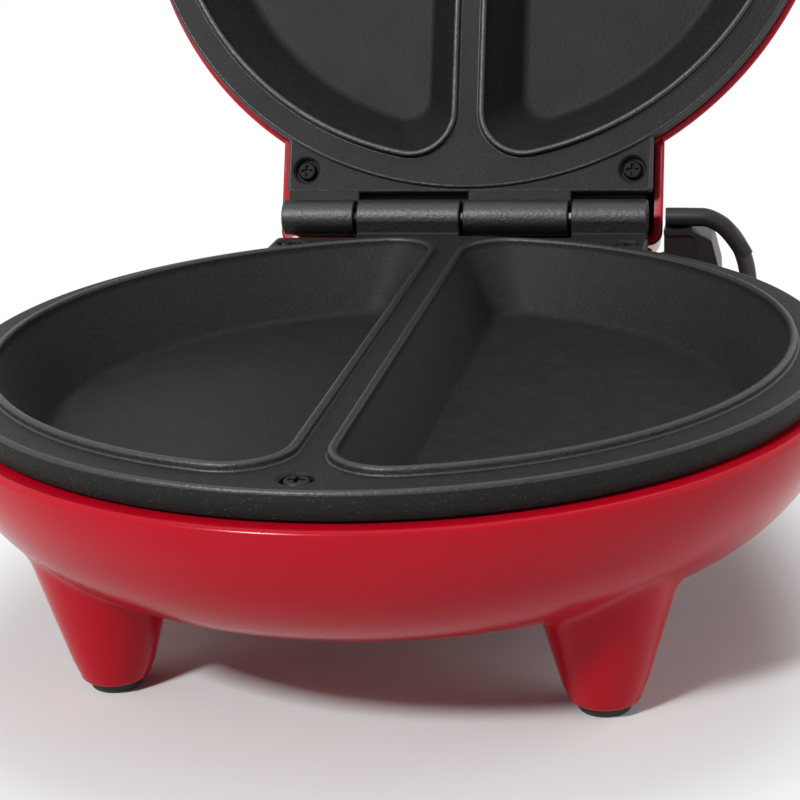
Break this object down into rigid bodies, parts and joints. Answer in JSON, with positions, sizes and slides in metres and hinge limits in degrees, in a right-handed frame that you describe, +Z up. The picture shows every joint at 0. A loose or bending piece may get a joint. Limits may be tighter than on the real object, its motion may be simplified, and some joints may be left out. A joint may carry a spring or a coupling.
{
  "type": "electric omelette maker",
  "caption": "Countertop omelette cooker with a hinged lid, stored open: twin half-round wells in two non-stick plates, round glossy housings, short legs and a mains lead.",
  "frame": {"origin": "middle of the open machine's box without the mains cord, on the surface it stands on", "axes": "+Z up, +Y from the base's front towards the hinge and the open lid, +X to the right seen from the front"},
  "size_m": [0.206, 0.329, 0.2872],
  "materials": {
    "housing_red": "glossy",
    "plate_coating": "semi-matte non-stick coating",
    "steel": "satin",
    "screw_steel": "bright",
    "reflector_metal": "bright",
    "ceramic_white": "matte",
    "wire_sleeve": "matte",
    "black_plastic": "satin",
    "cord_rubber": "satin",
    "foot_rubber": "matte",
    "lens_red": "glossy",
    "lens_green": "glossy",
    "brass_blade": "bright"
  },
  "bodies": {
    "base": {"base_housing": "housing_red", "lower_plate": "plate_coating", "hinge_pin": "steel", "lower_plate_screws": "screw_steel", "lower_heating_element": "steel", "lower_element_clamps": "steel", "lower_reflector": "reflector_metal", "lower_reflector_screws": "steel", "lower_thermostat": "steel", "lower_thermal_fuse": "steel", "base_terminal_block": "ceramic_white", "base_element_wires": "wire_sleeve", "supply_leads": "wire_sleeve", "cord_block": "black_plastic", "cord_block_screws": "steel", "strain_relief": "cord_rubber", "foot_front_left": "foot_rubber", "foot_front_right": "foot_rubber", "foot_rear_left": "foot_rubber", "foot_rear_right": "foot_rubber", "cord": "cord_rubber", "cord_tail": "cord_rubber", "cord_coil": "cord_rubber", "cord_tie": "black_plastic", "plug": "cord_rubber", "plug_blades": "brass_blade"},
    "lid": {"lid_housing": "housing_red", "upper_plate": "plate_coating", "upper_plate_screws": "screw_steel", "upper_heating_element": "steel", "upper_element_clamps": "steel", "upper_reflector": "reflector_metal", "upper_reflector_screws": "steel", "upper_thermostat": "steel", "lid_terminal_block": "ceramic_white", "lid_element_wires": "wire_sleeve", "lid_handle": "black_plastic", "handle_screws": "steel", "power_light_lens": "lens_red", "ready_light_lens": "lens_green", "light_bracket": "black_plastic"}
  },
  "joints": [
    {"name": "lid_hinge", "type": "hinge", "parent": "base", "child": "lid", "pos_m": [0, 0.04696, 0.067], "axis": [1, 0, 0], "range_deg": [0, 112.8]}
  ]
}
